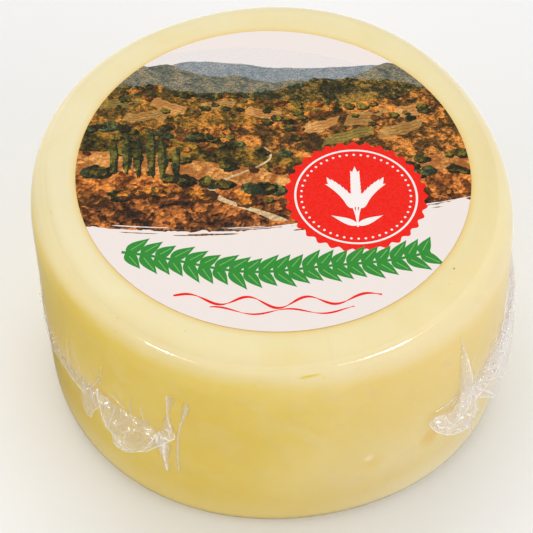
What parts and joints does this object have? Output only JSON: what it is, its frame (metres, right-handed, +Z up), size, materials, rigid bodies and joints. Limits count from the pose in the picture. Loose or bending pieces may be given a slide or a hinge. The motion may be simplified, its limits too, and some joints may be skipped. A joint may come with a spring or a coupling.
{
  "type": "shrink-wrapped cheese wheel, kashkaval",
  "caption": "Low round wheel of pale yellow kashkaval cheese with a soft top edge, tightly shrink-wrapped in clear film with a crumpled side seam and a round printed paper label on top.",
  "frame": {"origin": "middle of the bounding box at floor level, where the wheel's flat base stands", "axes": "+Z up through the label; -Y is the front, the side without a seam; +X is the side on the right when the front faces the viewer"},
  "size_m": [0.1318, 0.129, 0.076],
  "materials": {
    "cheese": "pale butter-yellow pressed cheese, smooth and slightly waxy, faintly mottled",
    "film": "clear shrink film, glossy where it clings, milky with small sparkles where it is crumpled",
    "label_paper": null
  },
  "bodies": {
    "root": {"cheese_wheel": "cheese", "film_seam": "film", "label": "label_paper"}
  },
  "joints": []
}
